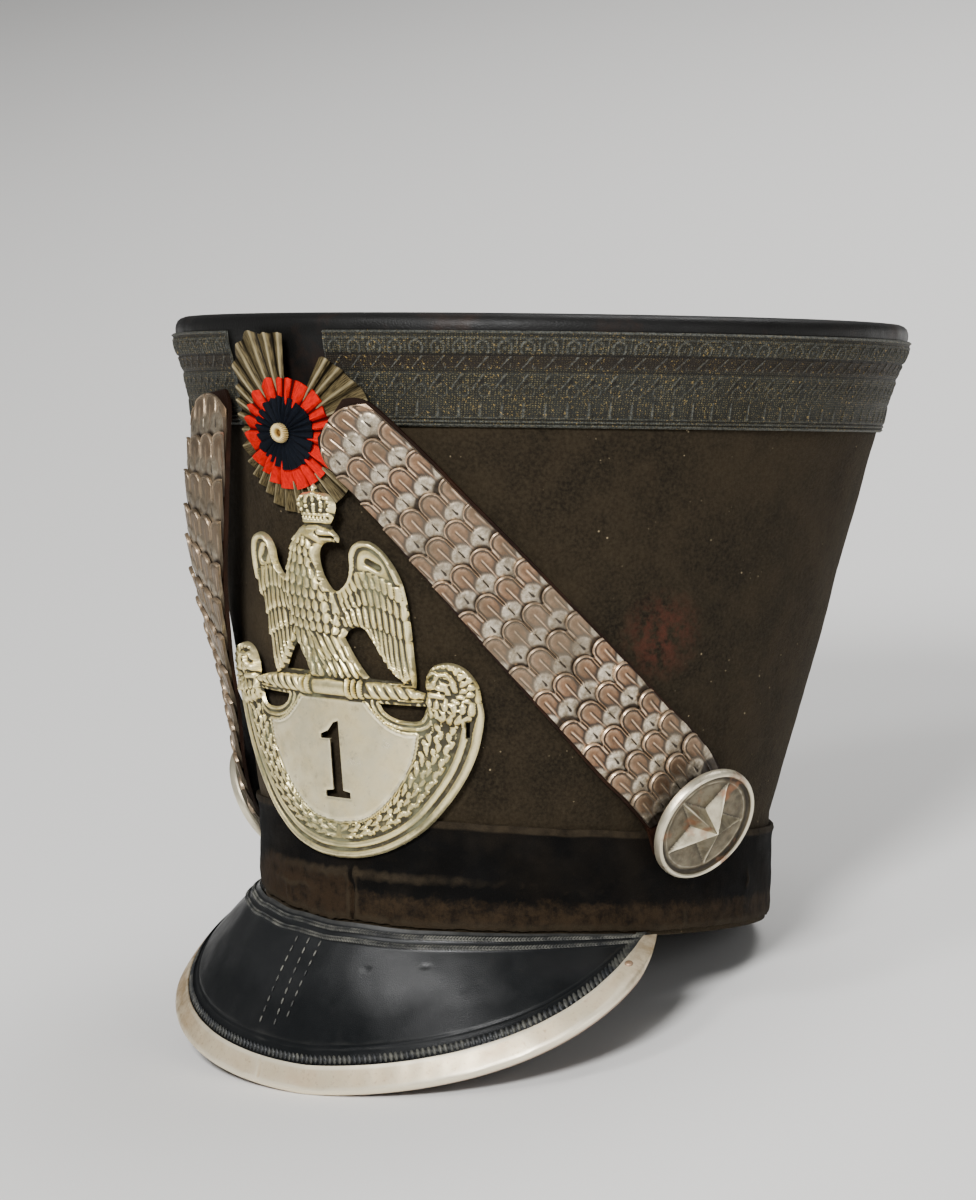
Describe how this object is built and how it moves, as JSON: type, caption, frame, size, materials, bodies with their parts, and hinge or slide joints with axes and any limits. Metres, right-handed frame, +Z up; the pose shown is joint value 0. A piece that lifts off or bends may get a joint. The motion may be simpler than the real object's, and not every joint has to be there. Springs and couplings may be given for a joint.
{
  "type": "shako hat",
  "caption": "Tall felt shako that widens upwards, with a steep edged leather peak, a pierced front plate with a numeral, a pleated cockade and tied-up chin scales.",
  "frame": {"origin": "centre of the footprint's box on the surface that the hat rests on", "axes": "+Z up from the surface, the peak and plate at -Y, the wearer's left at +X; the hat leans back on its peak and the back of its rim"},
  "size_m": [0.2524, 0.3024, 0.2462],
  "materials": {
    "felt": "dusty brown-black felt, matt",
    "top_leather": "black waxed leather, worn",
    "lace": "woven silver lace, tarnished, satin",
    "band_leather": "black leather with worn velvet nap, matt",
    "peak_leather": "black waxed leather, semi-gloss",
    "peak_metal": "whitened copper, worn, satin",
    "plate_metal": "silvered stamped brass, tarnished in its hollows",
    "silver_ribbon": "pleated silver lace ribbon, tarnished",
    "red_ribbon": "pleated scarlet silk ribbon",
    "blue_ribbon": "pleated dark blue silk ribbon",
    "gold_thread": "gold thread knot",
    "strap_leather": "dark red-brown leather",
    "scale_metal": "silvered copper, worn to copper",
    "boss_metal": "silvered brass, tarnished"
  },
  "bodies": {
    "root": {"crown_shell": "felt", "crown_top": "top_leather", "top_galon": "lace", "lower_band": "band_leather", "visor": "peak_leather", "visor_trim": "peak_metal", "front_plate": "plate_metal", "cockade_silver": "silver_ribbon", "cockade_red": "red_ribbon", "cockade_blue": "blue_ribbon", "cockade_bead": "gold_thread", "strap_left": "strap_leather", "strap_right": "strap_leather", "boss_left": "boss_metal", "boss_right": "boss_metal", "scale_right_01": "scale_metal", "scale_right_02": "scale_metal", "scale_right_03": "scale_metal", "scale_right_04": "scale_metal", "scale_right_05": "scale_metal", "scale_right_06": "scale_metal", "scale_right_07": "scale_metal", "scale_right_08": "scale_metal", "scale_right_09": "scale_metal", "scale_right_10": "scale_metal", "scale_right_11": "scale_metal", "scale_right_12": "scale_metal", "scale_right_13": "scale_metal", "scale_right_14": "scale_metal", "scale_left_01": "scale_metal", "scale_left_02": "scale_metal", "scale_left_03": "scale_metal", "scale_left_04": "scale_metal", "scale_left_05": "scale_metal", "scale_left_06": "scale_metal", "scale_left_07": "scale_metal", "scale_left_08": "scale_metal", "scale_left_09": "scale_metal", "scale_left_10": "scale_metal", "scale_left_11": "scale_metal", "scale_left_12": "scale_metal", "scale_left_13": "scale_metal"}
  },
  "joints": []
}
